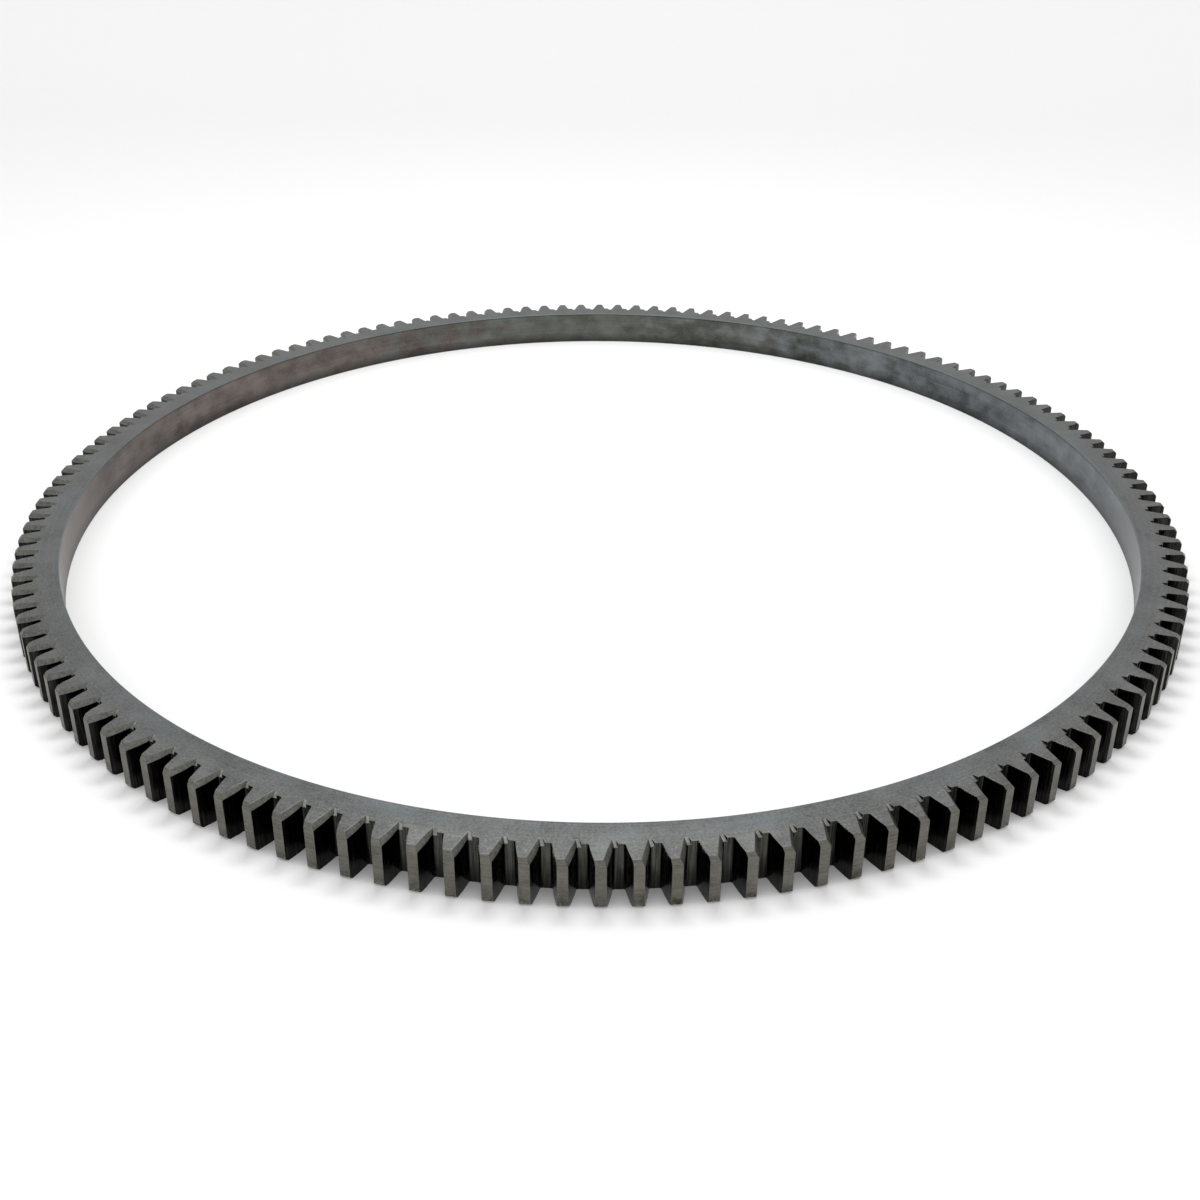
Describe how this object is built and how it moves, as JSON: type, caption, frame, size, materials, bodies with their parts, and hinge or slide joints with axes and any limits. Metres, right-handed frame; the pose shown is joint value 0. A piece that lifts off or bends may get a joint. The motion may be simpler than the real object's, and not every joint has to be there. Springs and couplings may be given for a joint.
{
  "type": "flywheel ring gear",
  "caption": "Thin toothed steel hoop with a plain bore, shrunk onto an engine flywheel's rim so a starter pinion can turn it; each tooth end is beveled on one flank as a lead-in.",
  "frame": {"origin": "centre of the bore on the plain back face, which is the face that the ring lies on", "axes": "+Z along the bore axis, from the back face towards the lead-in face; one tooth is centred on +X"},
  "size_m": [0.3556, 0.3556, 0.0125],
  "materials": {
    "blackened_steel": "heat-treated dark grey steel, machined, satin"
  },
  "bodies": {
    "root": {"ring_gear": "blackened_steel"}
  },
  "joints": []
}
